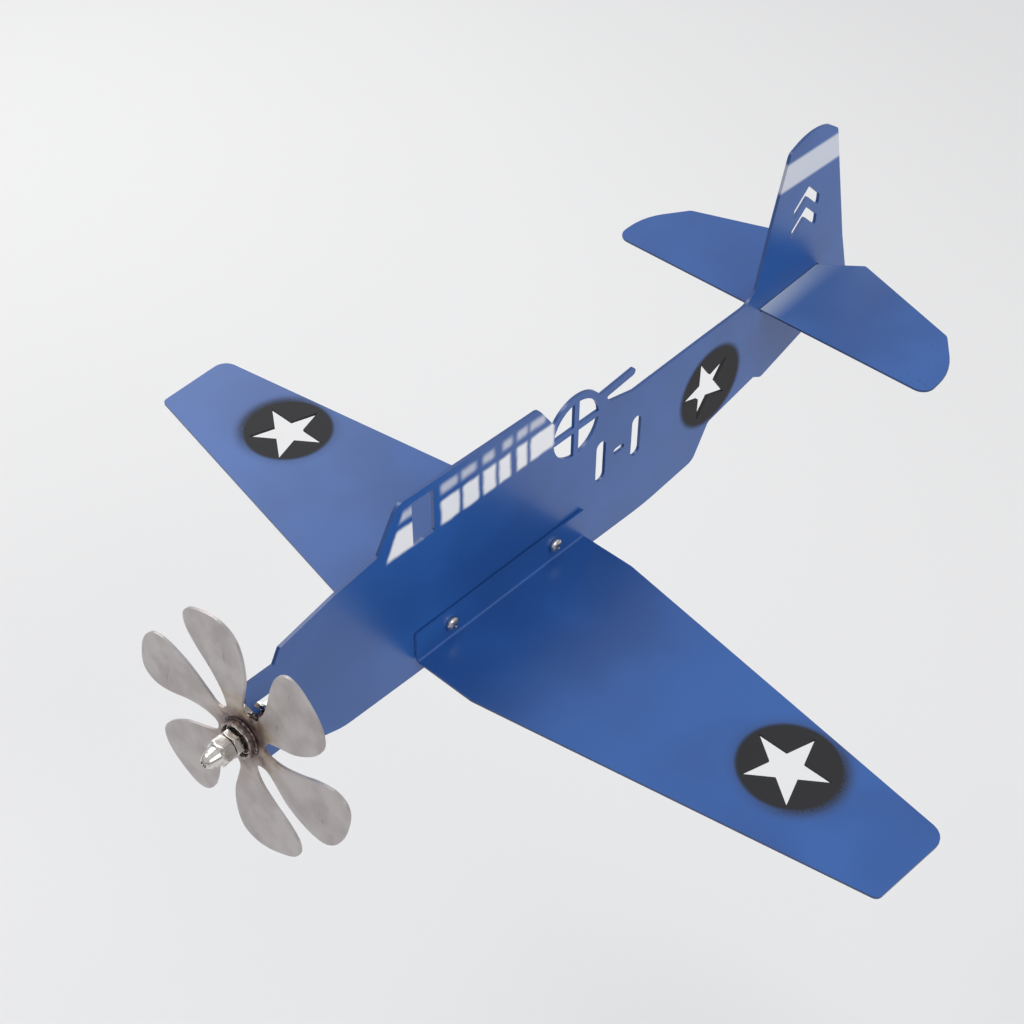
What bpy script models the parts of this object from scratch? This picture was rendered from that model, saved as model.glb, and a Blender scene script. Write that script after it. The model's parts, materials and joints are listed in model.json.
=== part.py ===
"""Sheet-metal aeroplane whirligig on a swivel spindle.

The airframe turns on the spindle like a weathercock, and the six-blade
propeller turns on a ball bearing at the nose.  The nose points along +X, the
port wing along +Y, and up is +Z.  The origin is the lower end of the spindle,
where a mast holds the object.  Lengths below are millimetres; MM makes metres.
"""
import math

import bmesh
import bpy
from mathutils import Matrix, Vector

MM = 0.001

# ---- driving dimensions -------------------------------------------------------
GAP = 0.3                      # clearance between pieces that touch
WING_TOP_HEIGHT = 64.0         # top face of the wings above the spindle's end
SWIVEL_STATION = 10.0          # swivel axis, forward of the wing stars

FUSELAGE_THICK = 1.5
WING_THICK = 1.2
TAIL_THICK = 1.2
BLADE_THICK = 1.2

WING_ROOT_FRONT = 58.3
WING_ROOT_REAR = -41.6
WING_STRAIGHT = 31.0           # how far out the wing's edges stay parallel
WING_TIP_FRONT = (25.8, 200.0)
WING_TIP_REAR = (-14.1, 203.0)
FLANGE_HEIGHT = 15.0
BEND_INNER_RADIUS = 1.0
WING_STAR_OUT = 141.0
WING_STAR_RADIUS = 18.25

SCREW_STATIONS = {"front": 39.0, "rear": -23.0}
SCREW_HEIGHT = 7.5
SCREW_RADIUS = 1.5             # M3
SCREW_HOLE_RADIUS = SCREW_RADIUS + GAP

TAIL_FRONT = -160.9
TAIL_REAR_AT_ROOT = -203.1
TAIL_FRONT_HEIGHT = 54.7
TAIL_PITCH = math.radians(3.6)
TAIL_SPANS = {"port": 87.8, "starboard": 83.9}

PROPELLER_CENTRE = (145.1, -0.3, 28.4)
PROPELLER_UP_TILT = math.radians(4.9)
PROPELLER_SIDE_TILT = math.radians(3.3)
BLADE_COUNT = 6
BLADE_PHASE = math.radians(-12.3)
BLADE_PITCH = math.radians(3.0)
HUB_HOLE_RADIUS = 8.3
AXLE_RADIUS = 3.0              # M6
AXLE_BORE = AXLE_RADIUS + GAP
M6_FLATS = 10.0
M6_NUT_HEIGHT = 5.0
FRONT_NUT_HEIGHT = 4.7
ACORN_HEIGHT = 11.9
BEARING_RADIUS = 6.5           # a shielded 6 x 13 x 5 mm bearing
BEARING_WIDTH = 5.0

SPINDLE_RADIUS = 4.0           # M8 at its lower end
TUBE_RADIUS = 7.0
TUBE_BORE = 5.1

# ---- a clean start ----------------------------------------------------------------
for old in list(bpy.data.objects):
    bpy.data.objects.remove(old, do_unlink=True)

parts = bpy.data.collections.new("aeroplane_whirligig")
cutters = bpy.data.collections.new("cutters")
bpy.context.scene.collection.children.link(parts)
bpy.context.scene.collection.children.link(cutters)


# ---- materials ----------------------------------------------------------------------
def finish_of(name, colour, roughness, metallic):
    """A Principled material."""
    material = bpy.data.materials.new(name)
    material.use_nodes = True
    shader = material.node_tree.nodes["Principled BSDF"]
    shader.inputs["Base Color"].default_value = (*colour, 1.0)
    shader.inputs["Roughness"].default_value = roughness
    shader.inputs["Metallic"].default_value = metallic
    material.diffuse_color = (*colour, 1.0)
    return material


blue_paint = finish_of("blue_paint", (0.045, 0.115, 0.38), 0.35, 0.0)
bare_steel = finish_of("bare_steel", (0.38, 0.36, 0.36), 0.45, 1.0)
bright_steel = finish_of("bright_steel", (0.62, 0.61, 0.60), 0.2, 1.0)
dark_steel = finish_of("dark_steel", (0.06, 0.06, 0.065), 0.4, 0.6)
brass = finish_of("brass", (0.55, 0.38, 0.14), 0.35, 1.0)


# ---- axis systems that the pieces hang on ----------------------------------------------
def axes(name, matrix):
    """An empty that stands for an axis system."""
    holder = bpy.data.objects.new(name, None)
    parts.objects.link(holder)
    holder.matrix_world = matrix
    return holder


def shifted(x, y, z):
    return Matrix.Translation(Vector((x, y, z)) * MM)


# Airframe: x from the wing stars, y from the fuselage's port face, z from the wings' top.
airframe = axes("airframe", shifted(-SWIVEL_STATION, FUSELAGE_THICK / 2, WING_TOP_HEIGHT))

# Propeller: z forward along the axle, x towards the port wing, from the blades' middle.
forward = Vector((1.0, math.tan(PROPELLER_SIDE_TILT), math.tan(PROPELLER_UP_TILT))).normalized()
to_port = (Vector((0, 1, 0)) - forward * forward.y).normalized()
in_disc = Matrix((to_port, forward.cross(to_port), forward)).transposed().to_4x4()
axle = axes("axle", airframe.matrix_world @ shifted(*PROPELLER_CENTRE) @ in_disc)

swivel = axes("swivel", Matrix.Identity(4))


# ---- outlines, as lists of 2D points -------------------------------------------------------
def rounded(corners, steps=5):
    """A closed outline whose corners (x, y, radius) become arcs."""
    points = []
    for index, (x, y, radius) in enumerate(corners):
        corner = Vector((x, y))
        if radius == 0:
            points.append(corner)
            continue
        before = (Vector(corners[index - 1][:2]) - corner).normalized()
        after = (Vector(corners[(index + 1) % len(corners)][:2]) - corner).normalized()
        half = before.angle(after) / 2
        centre = corner + (before + after).normalized() * radius / math.sin(half)
        start = corner + before * radius / math.tan(half) - centre
        end = corner + after * radius / math.tan(half) - centre
        clockwise = start.angle_signed(end)
        points += [centre + Matrix.Rotation(-clockwise * step / steps, 2) @ start
                   for step in range(steps + 1)]
    return points


def arc(x, y, radius, start, end, steps):
    """Points on an arc, with angles in degrees anticlockwise from +x."""
    angles = [math.radians(start + (end - start) * step / steps) for step in range(steps + 1)]
    return [Vector((x + radius * math.cos(a), y + radius * math.sin(a))) for a in angles]


def circle(x, y, radius, steps=24):
    return arc(x, y, radius, 0, 360, steps)[:-1]


def oblong(half_length, half_width):
    """A rectangle centred on the origin."""
    return [(-half_length, -half_width), (half_length, -half_width),
            (half_length, half_width), (-half_length, half_width)]


def sharp(points):
    """The same points as corners without a radius."""
    return [(point.x, point.y, 0) for point in points]


def star(x, y, radius, heading):
    """A five-pointed star with one point at heading degrees."""
    points = []
    for index in range(10):
        reach = radius * 0.382 if index % 2 else radius
        angle = math.radians(heading + 36 * index)
        points.append(Vector((x + reach * math.cos(angle), y + reach * math.sin(angle))))
    return points


# ---- making pieces ------------------------------------------------------------------------------
def finish(piece, material, parent):
    """Give a piece its material and hang it on its axis system."""
    piece.data.materials.clear()
    piece.data.materials.append(material)
    piece.parent = parent
    return piece


def place(piece, matrix):
    """Move a piece's mesh by a matrix whose shift is in millimetres."""
    move = Matrix.Translation(matrix.translation * MM) @ matrix.to_3x3().to_4x4()
    piece.data.transform(move)
    if move.determinant() < 0:
        piece.data.flip_normals()
    return piece


def shift(x, y, z):
    return Matrix.Translation((x, y, z))


def closed_mesh(source):
    """The evaluated mesh of an object, with its caps welded and its faces outward."""
    bpy.context.view_layer.update()
    evaluated = source.evaluated_get(bpy.context.evaluated_depsgraph_get())
    mesh = bpy.data.meshes.new_from_object(evaluated)
    shape = bmesh.new()
    shape.from_mesh(mesh)
    bmesh.ops.remove_doubles(shape, verts=shape.verts, dist=0.00001)
    bmesh.ops.recalc_face_normals(shape, faces=shape.faces)
    shape.to_mesh(mesh)
    shape.free()
    return mesh


def plate(name, outlines, thickness):
    """A flat plate in local XY about z = 0, with a hole wherever outlines nest."""
    flat = bpy.data.curves.new(name, "CURVE")
    flat.dimensions = "2D"
    flat.fill_mode = "BOTH"
    flat.extrude = thickness * MM / 2
    for points in outlines:
        spline = flat.splines.new("POLY")
        spline.points.add(len(points) - 1)
        spline.use_cyclic_u = True
        for knot, point in zip(spline.points, points):
            knot.co = (point[0] * MM, point[1] * MM, 0, 1)
    curve = bpy.data.objects.new(name + "_outline", flat)
    parts.objects.link(curve)
    piece = bpy.data.objects.new(name, closed_mesh(curve))
    piece.matrix_world = curve.matrix_world
    parts.objects.link(piece)
    bpy.data.objects.remove(curve, do_unlink=True)
    return piece


def turned(name, profile, segments=32):
    """A turned piece about local z, from (radius, height) points down its outer side."""
    shape = bmesh.new()
    path = [shape.verts.new((radius * MM, 0, height * MM)) for radius, height in profile]
    for first, second in zip(path, path[1:]):
        shape.edges.new((first, second))
    if profile[0][0] > 0:
        shape.edges.new((path[-1], path[0]))
    mesh = bpy.data.meshes.new(name)
    shape.to_mesh(mesh)
    shape.free()
    piece = bpy.data.objects.new(name, mesh)
    parts.objects.link(piece)
    spin = piece.modifiers.new("turn", "SCREW")
    spin.axis = "Z"
    spin.steps = segments
    spin.render_steps = segments
    spin.use_merge_vertices = True
    spin.merge_threshold = 0.00001
    return piece


def ring(name, inner, outer, low, high, segments=32):
    """A plain turned ring."""
    return turned(name, [(outer, high), (outer, low), (inner, low), (inner, high)], segments)


def hexagon(name, flats, low, high):
    """A six-sided bar along local z."""
    bar = plate(name, [circle(0, 0, flats / math.sqrt(3), 6)], high - low)
    return place(bar, shift(0, 0, (low + high) / 2))


def ball(name, radius, x, y, z, segments):
    """A solid ball."""
    shape = bmesh.new()
    bmesh.ops.create_uvsphere(shape, u_segments=segments, v_segments=segments // 3 * 2, radius=radius * MM)
    mesh = bpy.data.meshes.new(name)
    shape.to_mesh(mesh)
    shape.free()
    piece = bpy.data.objects.new(name, mesh)
    parts.objects.link(piece)
    return place(piece, shift(x, y, z))


def combine(piece, tool, operation):
    """Cut, join or intersect a piece with a tool, which stays as a hidden cutter."""
    parts.objects.unlink(tool)
    cutters.objects.link(tool)
    tool.hide_render = True
    tool.display_type = "WIRE"
    tool.parent = piece.parent
    step = piece.modifiers.new(tool.name, "BOOLEAN")
    step.operation = operation
    step.solver = "EXACT"
    step.object = tool
    return piece


def nut(name, flats, bore, low, high, material, parent):
    """A hexagon nut with turned chamfers and a plain bore."""
    corner = flats / math.sqrt(3) + 0.2
    seat = flats / 2 * 0.96
    drop = (corner - seat) * math.tan(math.radians(30))
    outside = [(seat, high), (corner, high - drop), (corner, low + drop), (seat, low)]
    bar = finish(hexagon(name, flats, low, high), material, parent)
    return combine(bar, turned(name + "_turning", outside + [(bore, low), (bore, high)], 36), "INTERSECT")


# ---- fuselage: one flat sheet standing along the centre line --------------------------------------
RING_X = -36.4                 # gun ring behind the cabin
RING_Z = 62.5
RING_OUTER = 17.1
RING_INNER = 13.8
RING_BAR = 2.9
GUN_RADIUS = 1.9


def cabin_and_spine():
    """Upper edge, from the top of the nose back to the foot of the fin."""
    cabin = [(141.3, 52.3, 0.8), (127.0, 52.3, 0.6), (123.5, 58.7, 1.2), (96.0, 65.3, 60.0),
             (74.3, 68.8, 1.0), (63.2, 87.7, 6.0), (33.0, 87.1, 0), (-13.4, 86.3, 4.0)]
    over_ring = arc(RING_X, RING_Z, RING_OUTER, 37, 148, 14)
    gun = arc(-70.9, 71.7, GUN_RADIUS, 96, 276, 8)
    spine = [(-54.6, 68.0, 0.8), (-57.6, 64.4, 1.5), (-72.5, 61.0, 4.0), (-120.0, 62.7, 0),
             (-149.5, 63.5, 10.0)]
    return cabin + sharp(over_ring + gun) + spine


def fin_and_rudder():
    """Round the fin, from its front foot to the bottom of the rudder."""
    leading = [(-155.3, 69.0, 3.0), (-161.7, 99.5, 0), (-169.2, 130.8, 3.0)]
    crown = sharp(arc(-186.0, 105.7, 29.7, 62, 118, 8)[1:-1])
    trailing = [(-203.4, 129.2, 3.5), (-210.6, 103.2, 0), (-221.2, 65.6, 0), (-232.0, 32.9, 6.0)]
    return leading + crown + trailing


def belly_and_nose():
    """Lower edge forward to the nose, then the forked nose round the axle boss."""
    belly = [(-167.6, 12.8, 3.0), (-161.6, 16.1, 2.0), (-129.0, 9.2, 3.0), (-119.5, -8.2, 6.0),
             (-85.0, -12.1, 120.0), (60.0, -8.7, 0), (98.0, -7.4, 30.0), (123.5, 1.5, 2.0),
             (127.0, 7.0, 0.6), (141.3, 7.0, 0.8)]
    lower_fork = [(141.3, 13.0, 2.0), (138.6, 21.2, 0), (136.4, 21.2, 0), (139.2, 15.7, 1.0)]
    window = [(121.5, 15.7, 3.0), (121.5, 40.3, 3.0)]
    upper_fork = [(138.7, 40.3, 1.0), (135.0, 34.3, 0), (137.6, 34.3, 0), (141.3, 43.0, 2.0)]
    return belly + lower_fork + window + upper_fork


def ring_quarter(side_x, side_z):
    """One of the gun ring's four openings."""
    bar = RING_BAR / 2
    start = math.degrees(math.asin(bar / RING_INNER))
    quarter = [Vector((bar, bar))] + arc(0, 0, RING_INNER, start, 90 - start, 7)
    return [Vector((RING_X + side_x * point.x, RING_Z + side_z * point.y)) for point in quarter]


def slot(x, z, length, height):
    """A slot with round ends, centred on x, z."""
    end = min(length, height) / 2 - 0.05
    return rounded([(x - length / 2, z - height / 2, end), (x + length / 2, z - height / 2, end),
                    (x + length / 2, z + height / 2, end), (x - length / 2, z + height / 2, end)])


def chevron(x, z, width, height, bar):
    """A bent bar pointing up, with its feet at height z."""
    half = width / 2
    return rounded([(x - half, z, 0.8), (x, z + height - bar, 0.8), (x + half, z, 0.8),
                    (x + half, z + bar, 0.8), (x, z + height, 0.8), (x - half, z + bar, 0.8)], 3)


def tail_slot():
    """The slanting slot that takes the roots of both tailplane halves."""
    run = Vector((math.cos(TAIL_PITCH), -math.sin(TAIL_PITCH)))
    rise = Vector((math.sin(TAIL_PITCH), math.cos(TAIL_PITCH)))
    front = Vector((TAIL_FRONT, TAIL_FRONT_HEIGHT)) + run * 0.6
    rear = front - run * (TAIL_FRONT - TAIL_REAR_AT_ROOT + 1.2)
    low = rise * -(TAIL_THICK / 2 + GAP)
    high = rise * (TAIL_THICK / 2 + 1.1)
    return [front + low, front + high, rear + high, rear + low]


fuselage_holes = [
    rounded([(56.3, 62.0, 0.8), (56.3, 83.7, 0.8), (45.0, 83.7, 0.8), (45.0, 62.0, 0.8)], 3),
    star(-124.6, 31.9, 16.9, 0),
    slot(-53.0, 34.0, 6.0, 22.0),
    slot(-64.8, 33.6, 7.0, 3.4),
    slot(-76.0, 34.0, 6.0, 22.0),
    chevron(-186.8, 83.0, 18.5, 14.0, 5.6),
    chevron(-186.8, 93.6, 18.5, 14.0, 5.6),
    tail_slot(),
]
fuselage_holes += [ring_quarter(side_x, side_z) for side_x in (1, -1) for side_z in (1, -1)]
fuselage_holes += [circle(station, SCREW_HEIGHT, SCREW_HOLE_RADIUS) for station in SCREW_STATIONS.values()]

fuselage_edge = rounded(cabin_and_spine() + fin_and_rudder() + belly_and_nose())
fuselage = finish(plate("fuselage_sheet", [fuselage_edge] + fuselage_holes, FUSELAGE_THICK),
                  blue_paint, airframe)
stand_up = Matrix.Rotation(math.pi / 2, 4, "X")
place(fuselage, shift(0, -FUSELAGE_THICK / 2, 0) @ stand_up)


# ---- wings: a plate bent up into a flange along the fuselage ----------------------------------------
def wing_section():
    """Section across the bend: flange, bend and plate as one sheet."""
    outer = GAP + WING_THICK
    beyond_tip = WING_TIP_REAR[1] + 5
    return rounded([(GAP, FLANGE_HEIGHT, 0), (outer, FLANGE_HEIGHT, 0), (outer, 0, BEND_INNER_RADIUS),
                    (beyond_tip, 0, 0), (beyond_tip, -WING_THICK, 0),
                    (GAP, -WING_THICK, BEND_INNER_RADIUS + WING_THICK)])


def wing(name):
    """The port wing, trimmed to its plan, with its star and screw holes."""
    middle = (WING_ROOT_FRONT + WING_ROOT_REAR) / 2
    piece = finish(plate(name, [wing_section()], WING_ROOT_FRONT - WING_ROOT_REAR), blue_paint, airframe)
    section_across = Matrix(((0, 0, 1, 0), (1, 0, 0, 0), (0, 1, 0, 0), (0, 0, 0, 1)))
    place(piece, shift(middle, 0, 0) @ section_across)

    plan = rounded([(WING_ROOT_FRONT + 1, -5, 0), (WING_ROOT_FRONT + 1, 3, 0), (WING_ROOT_FRONT, 3, 0),
                    (WING_ROOT_FRONT, WING_STRAIGHT, 8), (*WING_TIP_FRONT, 3), (*WING_TIP_REAR, 7),
                    (WING_ROOT_REAR, WING_STRAIGHT - 2, 8), (WING_ROOT_REAR, 3, 0),
                    (WING_ROOT_REAR - 1, 3, 0), (WING_ROOT_REAR - 1, -5, 0)])
    opening = star(0, WING_STAR_OUT, WING_STAR_RADIUS, 180)
    combine(piece, plate(name + "_plan", [plan, opening], 60), "INTERSECT")
    for end, station in SCREW_STATIONS.items():
        drill = plate(f"{name}_{end}_drill", [circle(station, SCREW_HEIGHT, SCREW_HOLE_RADIUS)], 10)
        combine(piece, place(drill, stand_up), "DIFFERENCE")
    return piece


def other_side(piece, name):
    """A copy mirrored in the fuselage's mid plane, with its cuts already made."""
    twin = bpy.data.objects.new(name, closed_mesh(piece))
    parts.objects.link(twin)
    place(twin, shift(0, -FUSELAGE_THICK, 0) @ Matrix.Scale(-1, 4, (0, 1, 0)))
    return finish(twin, blue_paint, airframe)


other_side(wing("wing_port"), "wing_starboard")


# ---- tailplane: two plates whose roots meet inside the fuselage slot ---------------------------------
def tail_half(side_name, side):
    """A plate drawn outward from the mid plane, then sloped to its slot."""
    span = TAIL_SPANS[side_name]
    plan = rounded([(TAIL_FRONT, GAP / 2, 0), (TAIL_FRONT, span, 6), (-180.0, span, 30),
                    (-198.6, span - 14.2, 4), (-216.6, 18.2, 1.5), (TAIL_REAR_AT_ROOT, GAP / 2, 0)])
    piece = finish(plate("tailplane_" + side_name, [plan], TAIL_THICK), blue_paint, airframe)
    slope = (shift(TAIL_FRONT, -FUSELAGE_THICK / 2, TAIL_FRONT_HEIGHT) @ Matrix.Rotation(TAIL_PITCH, 4, "Y")
             @ shift(-TAIL_FRONT, 0, 0))
    return place(piece, slope @ Matrix.Scale(side, 4, (0, 1, 0)))


tail_half("port", 1)
tail_half("starboard", -1)

# ---- wing screws: each clamps both flanges to the fuselage --------------------------------------------
HEAD_RADIUS = 3.2
HEAD_RIM = 0.8
HEAD_HEIGHT = 2.3
RECESS_DEPTH = 1.1
RECESS_HALF_LENGTH = 1.6
RECESS_HALF_WIDTH = 0.3
WASHER_RADIUS = 3.5
WASHER_THICK = 0.5
SMALL_NUT_FLATS = 5.5
SMALL_NUT_HEIGHT = 2.4
SCREW_BEYOND_NUT = 0.8
SCREW_CHAMFER = 0.4

head_seat = GAP + WING_THICK + GAP
washer_face = -FUSELAGE_THICK - head_seat
washer_back = washer_face - WASHER_THICK
small_nut_face = washer_back - GAP
small_nut_back = small_nut_face - SMALL_NUT_HEIGHT
screw_tip = small_nut_back - SCREW_BEYOND_NUT


def wing_fastener(end, station):
    """Pan-head screw with a cross recess from port, washer and nut to starboard."""
    out_to_port = Matrix.Rotation(-math.pi / 2, 4, "X")
    seat = airframe.matrix_world @ shifted(station, 0, SCREW_HEIGHT)
    axis = axes(f"wing_screw_{end}_axis", seat @ out_to_port)
    dome = [(HEAD_RADIUS * math.cos(math.radians(angle)),
             head_seat + HEAD_RIM + (HEAD_HEIGHT - HEAD_RIM) * math.sin(math.radians(angle)))
            for angle in (75, 55, 35, 15, 0)]
    shank = [(HEAD_RADIUS, head_seat), (SCREW_RADIUS, head_seat), (SCREW_RADIUS, screw_tip + SCREW_CHAMFER),
             (SCREW_RADIUS - SCREW_CHAMFER, screw_tip), (0, screw_tip)]
    screw = turned(f"wing_screw_{end}", [(0, head_seat + HEAD_HEIGHT)] + dome + shank, 24)
    finish(screw, bright_steel, axis)
    recess = oblong(RECESS_HALF_LENGTH, RECESS_HALF_WIDTH)
    for arm, turn in (("a", 25), ("b", 115)):
        groove = plate(f"wing_screw_{end}_recess_{arm}", [recess], RECESS_DEPTH * 2)
        place(groove, shift(0, 0, head_seat + HEAD_HEIGHT) @ Matrix.Rotation(math.radians(turn), 4, "Z"))
        combine(screw, groove, "DIFFERENCE")
    washer = ring(f"wing_washer_{end}", SCREW_HOLE_RADIUS, WASHER_RADIUS, washer_back, washer_face, 24)
    finish(washer, bright_steel, axis)
    nut(f"wing_nut_{end}", SMALL_NUT_FLATS, SCREW_HOLE_RADIUS, small_nut_back, small_nut_face,
        bright_steel, axis)


for screw_end, screw_station in SCREW_STATIONS.items():
    wing_fastener(screw_end, screw_station)

# ---- axle stack: stations along the axle, 0 at the middle of the blades -------------------------------
SPACER_THICK = 2.7
SPACER_RADIUS = 4.3
BOSS_LENGTH = 2.9
BOSS_RADIUS = 6.0
BACK_WASHER_THICK = 1.2
BACK_WASHER_RADIUS = 9.0
STUD_IN_ACORN = 8.0
STUD_BEHIND_NUT = 1.2
STUD_CHAMFER = 0.5

bearing_front = 1.6
bearing_rear = bearing_front - BEARING_WIDTH
spacer_front = bearing_rear - GAP
spacer_rear = spacer_front - SPACER_THICK
boss_front = spacer_rear - GAP
boss_rear = boss_front - BOSS_LENGTH
back_washer_front = boss_rear - GAP
back_washer_rear = back_washer_front - BACK_WASHER_THICK
back_nut_front = back_washer_rear - GAP
back_nut_rear = back_nut_front - M6_NUT_HEIGHT
front_nut_rear = bearing_front + GAP
front_nut_front = front_nut_rear + FRONT_NUT_HEIGHT
acorn_rear = front_nut_front + GAP
acorn_front = acorn_rear + ACORN_HEIGHT
stud_front = acorn_rear + STUD_IN_ACORN
stud_rear = back_nut_rear - STUD_BEHIND_NUT
stud_end_radius = AXLE_RADIUS - STUD_CHAMFER

finish(ring("nose_boss", AXLE_BORE, BOSS_RADIUS, boss_rear, boss_front), bare_steel, axle)
back_washer = ring("axle_back_washer", AXLE_BORE, BACK_WASHER_RADIUS, back_washer_rear, back_washer_front)
finish(back_washer, bright_steel, axle)
finish(ring("axle_spacer", AXLE_BORE, SPACER_RADIUS, spacer_rear, spacer_front), bright_steel, axle)
nut("axle_back_nut", M6_FLATS, AXLE_BORE, back_nut_rear, back_nut_front, bright_steel, axle)
nut("axle_front_nut", M6_FLATS, AXLE_BORE, front_nut_rear, front_nut_front, bright_steel, axle)
axle_stud = turned("axle_stud", [
    (0, stud_front), (stud_end_radius, stud_front), (AXLE_RADIUS, stud_front - STUD_CHAMFER),
    (AXLE_RADIUS, stud_rear + STUD_CHAMFER), (stud_end_radius, stud_rear), (0, stud_rear)])
finish(axle_stud, bright_steel, axle)


def acorn_nut():
    """Hexagon foot, cone and dome with a blind bore, from one hexagon bar."""
    hexagon_height = 4.6
    dome_radius = 3.1
    corner = M6_FLATS / math.sqrt(3) + 0.3
    cone_foot = acorn_rear + hexagon_height
    dome_foot = acorn_front - dome_radius
    dome = [(dome_radius * math.cos(math.radians(angle)),
             dome_foot + dome_radius * math.sin(math.radians(angle))) for angle in (72, 54, 36, 18)]
    skirt = [(dome_radius + 0.5, dome_foot - 0.6), (4.55, cone_foot + 0.2), (corner, cone_foot - 0.6),
             (corner, acorn_rear + 0.6), (M6_FLATS / 2 * 0.96, acorn_rear)]
    blind_bore = [(AXLE_BORE, acorn_rear), (AXLE_BORE, stud_front + 0.6), (0, stud_front + 1.6)]
    bar = finish(hexagon("acorn_nut", M6_FLATS, acorn_rear, acorn_front), bright_steel, axle)
    turning = turned("acorn_nut_turning", [(0, acorn_front)] + dome + skirt + blind_bore, 36)
    return combine(bar, turning, "INTERSECT")


acorn_nut()

# ---- ball bearing and the housing that the blades are welded to ----------------------------------------
INNER_RING_RADIUS = 4.0
OUTER_RING_BORE = 5.7
STEP_RADIUS = OUTER_RING_BORE + 0.35        # seat of the shields
STEP_DEPTH = 0.8
SHIELD_THICK = 0.3
SHIELD_SET_BACK = 0.15
CAGE_HALF_WIDTH = 0.25
CAGE_HALF_HEIGHT = 0.35
BALL_RADIUS = 0.55
BALL_CIRCLE = (INNER_RING_RADIUS + OUTER_RING_BORE) / 2
BALL_COUNT = 7
HOUSING_RADIUS = HUB_HOLE_RADIUS - GAP
HOUSING_FRONT = 3.0
HOUSING_LIP_BORE = BEARING_RADIUS - 0.7
HOUSING_LIP_THICK = 0.6
HOUSING_CHAMFER = 0.3
HOUSING_BORE = BEARING_RADIUS + GAP

finish(ring("bearing_inner_ring", AXLE_BORE, INNER_RING_RADIUS, bearing_rear, bearing_front),
       bright_steel, axle)
outer_ring = turned("bearing_outer_ring", [
    (BEARING_RADIUS, bearing_front), (BEARING_RADIUS, bearing_rear), (STEP_RADIUS, bearing_rear),
    (STEP_RADIUS, bearing_rear + STEP_DEPTH), (OUTER_RING_BORE, bearing_rear + STEP_DEPTH),
    (OUTER_RING_BORE, bearing_front - STEP_DEPTH), (STEP_RADIUS, bearing_front - STEP_DEPTH),
    (STEP_RADIUS, bearing_front)])
finish(outer_ring, bright_steel, axle)
shield_stations = {"rear": bearing_rear + SHIELD_SET_BACK,
                   "front": bearing_front - SHIELD_SET_BACK - SHIELD_THICK}
for shield_end, shield_low in shield_stations.items():
    shield = ring(f"bearing_shield_{shield_end}", INNER_RING_RADIUS + GAP, STEP_RADIUS - 0.25,
                  shield_low, shield_low + SHIELD_THICK)
    finish(shield, dark_steel, axle)

bearing_middle = (bearing_front + bearing_rear) / 2
cage = ring("bearing_ball_cage", BALL_CIRCLE - CAGE_HALF_WIDTH, BALL_CIRCLE + CAGE_HALF_WIDTH,
            bearing_middle - CAGE_HALF_HEIGHT, bearing_middle + CAGE_HALF_HEIGHT, 28)
finish(cage, brass, axle)
for ball_number in range(BALL_COUNT):
    angle = math.tau * ball_number / BALL_COUNT
    race_ball = ball(f"race_ball_{ball_number}", BALL_RADIUS, BALL_CIRCLE * math.cos(angle),
                     BALL_CIRCLE * math.sin(angle), bearing_middle, 12)
    combine(cage, race_ball, "UNION")

housing_rear = bearing_rear - GAP - HOUSING_LIP_THICK
housing = turned("hub_housing", [
    (HOUSING_RADIUS - HOUSING_CHAMFER, HOUSING_FRONT), (HOUSING_RADIUS, HOUSING_FRONT - HOUSING_CHAMFER),
    (HOUSING_RADIUS, housing_rear), (HOUSING_LIP_BORE, housing_rear),
    (HOUSING_LIP_BORE, bearing_rear - GAP), (HOUSING_BORE, bearing_rear - GAP),
    (HOUSING_BORE, HOUSING_FRONT)], 48)
finish(housing, bare_steel, axle)

# ---- propeller: six petals cut from one sheet, welded round the housing --------------------------------
BLADE_STATION = -0.4
CROTCH_RADIUS = 12.2
CROTCH_ANGLE = math.radians(-36)
TWIST_START = 14.0             # the petals are flat inside this radius
TWIST_RAMP = 16.0              # and at their full pitch this much further out


def petal_corners():
    """One petal along local x: leading side, tip, trailing side and the crotch after it."""
    petal = [(13.5, 3.0), (20.0, 3.6), (28.0, 7.0), (36.0, 11.8), (43.5, 14.8), (49.5, 13.9),
             (52.8, 9.5), (53.7, 2.0), (53.2, -5.0), (50.8, -10.9), (46.0, -14.9), (38.0, -15.5),
             (28.0, -13.1), (19.5, -8.4), (14.2, -5.8)]
    return petal + [(CROTCH_RADIUS * math.cos(CROTCH_ANGLE), CROTCH_RADIUS * math.sin(CROTCH_ANGLE))]


def smooth_loop(corners, steps=3):
    """A closed Catmull-Rom curve through the corners."""
    points = []
    for index in range(len(corners)):
        a, b, c, d = (corners[(index + offset) % len(corners)] for offset in (-1, 0, 1, 2))
        for step in range(steps):
            t = step / steps
            points.append((2 * b + (c - a) * t + (2 * a - 5 * b + 4 * c - d) * t ** 2
                           + (3 * b - a - 3 * c + d) * t ** 3) / 2)
    return points


def propeller():
    """The flat flower, with each petal then turned a little about its own length."""
    loop = []
    for blade in range(BLADE_COUNT):
        turn = Matrix.Rotation(BLADE_PHASE - blade * math.tau / BLADE_COUNT, 2)
        loop += [turn @ Vector(corner) for corner in petal_corners()]
    flower = plate("propeller_blades", [smooth_loop(loop), circle(0, 0, HUB_HOLE_RADIUS, 48)], BLADE_THICK)
    sector = math.tau / BLADE_COUNT
    for vertex in flower.data.vertices:
        x, y, _ = vertex.co / MM
        reach = math.hypot(x, y)
        off_axis = (math.atan2(y, x) - BLADE_PHASE + sector / 2) % sector - sector / 2
        ramp = min(max((reach - TWIST_START) / TWIST_RAMP, 0), 1)
        vertex.co.z -= reach * math.sin(off_axis) * math.tan(BLADE_PITCH) * ramp * MM
    place(flower, shift(0, 0, BLADE_STATION))
    return finish(flower, bare_steel, axle)


propeller()

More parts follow.
